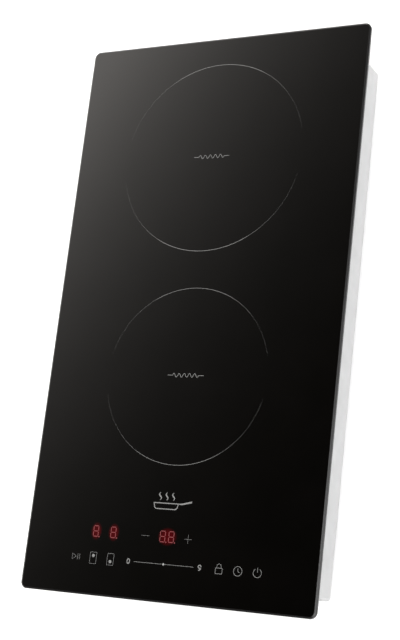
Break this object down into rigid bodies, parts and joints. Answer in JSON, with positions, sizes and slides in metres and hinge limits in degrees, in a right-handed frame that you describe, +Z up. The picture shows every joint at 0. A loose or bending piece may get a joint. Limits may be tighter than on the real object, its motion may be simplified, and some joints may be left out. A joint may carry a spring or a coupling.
{
  "type": "built-in induction cooktop",
  "caption": "Narrow built-in induction cooktop: black glass panel with printed zones and touch controls over a sheet-steel pan that holds the coils and electronics.",
  "frame": {"origin": "centre of the overall footprint (the glass), on the plane under the pan's pressed feet", "axes": "+Z up through the glass, +Y towards the rear of the worktop, +X to the user's right"},
  "size_m": [0.288, 0.52, 0.059],
  "materials": {
    "glass": "polished black glass-ceramic",
    "pan": "satin galvanised sheet steel",
    "aluminium": "mill-finish sheet",
    "steel": "zinc-plated",
    "foam": "closed-cell foam strip",
    "silicone": "cured adhesive",
    "black_plastic": "fine moulded texture",
    "white_plastic": "plain moulded",
    "copper": "varnished copper strands",
    "ferrite": "dull pressed ferrite",
    "mica": "pressed mica sheet",
    "green_board": "solder-masked glass-fibre laminate",
    "capacitor": "dipped film capacitor case",
    "red_lens": "red display window",
    "ribbon": "flat cable",
    "wire": "sleeved cores"
  },
  "bodies": {
    "hob": {"glass_panel": "glass", "bond_bead": "silicone", "worktop_seal": "foam", "glass_frame": "aluminium", "base_pan": "pan", "coil_plate": "aluminium", "terminal_block": "white_plastic", "cable_gland": "black_plastic", "earth_screw": "steel", "board_tray": "black_plastic", "power_board": "green_board", "heatsink": "aluminium", "power_switch_rear": "black_plastic", "power_switch_front": "black_plastic", "bridge_rectifier": "black_plastic", "bus_capacitor": "capacitor", "resonant_capacitor_rear": "capacitor", "resonant_capacitor_front": "capacitor", "filter_choke": "copper", "relay": "white_plastic", "fuse": "steel", "mains_lead": "wire", "fan_housing": "black_plastic", "fan_motor": "steel", "control_tray": "white_plastic", "control_board": "green_board", "zone_display_rear": "red_lens", "zone_display_front": "red_lens", "timer_display": "red_lens", "light_guide": "white_plastic", "control_ribbon": "ribbon", "frame_screw_front_left": "steel", "plate_screw_front_left": "steel", "frame_screw_front_right": "steel", "plate_screw_front_right": "steel", "frame_screw_rear_left": "steel", "plate_screw_rear_left": "steel", "frame_screw_rear_right": "steel", "plate_screw_rear_right": "steel", "coil_spring_rear_1": "steel", "coil_spring_rear_2": "steel", "coil_spring_rear_3": "steel", "coil_lead_rear": "wire", "coil_spring_front_1": "steel", "coil_spring_front_2": "steel", "coil_spring_front_3": "steel", "coil_lead_front": "wire"},
    "coil_rear": {"coil_former_rear": "black_plastic", "litz_winding_rear": "copper", "ferrite_spider_rear": "ferrite", "mica_sheet_rear": "mica", "coil_sensor_rear": "white_plastic"},
    "coil_front": {"coil_former_front": "black_plastic", "litz_winding_front": "copper", "ferrite_spider_front": "ferrite", "mica_sheet_front": "mica", "coil_sensor_front": "white_plastic"},
    "fan": {"fan_impeller": "black_plastic"},
    "lid": {"terminal_lid": "black_plastic"}
  },
  "joints": [
    {"name": "coil_rear_slide", "type": "slide", "parent": "hob", "child": "coil_rear", "axis": [0, 0, 1], "range_m": [-0.003, 0], "stiffness_N_per_m": 1500, "springref_m": 0.006, "deforming": ["coil_spring_rear_1", "coil_spring_rear_2", "coil_spring_rear_3", "coil_lead_rear"]},
    {"name": "coil_front_slide", "type": "slide", "parent": "hob", "child": "coil_front", "axis": [0, 0, 1], "range_m": [-0.003, 0], "stiffness_N_per_m": 1500, "springref_m": 0.006, "deforming": ["coil_spring_front_1", "coil_spring_front_2", "coil_spring_front_3", "coil_lead_front"]},
    {"name": "fan_spin", "type": "hinge", "parent": "hob", "child": "fan", "pos_m": [-0.062, 0.16, 0.015], "axis": [0, 0, 1], "continuous": true},
    {"name": "lid_hinge", "type": "hinge", "parent": "hob", "child": "lid", "pos_m": [0.07, 0.179, 0.0025], "axis": [1, 0, 0], "range_deg": [-100, 0]}
  ]
}
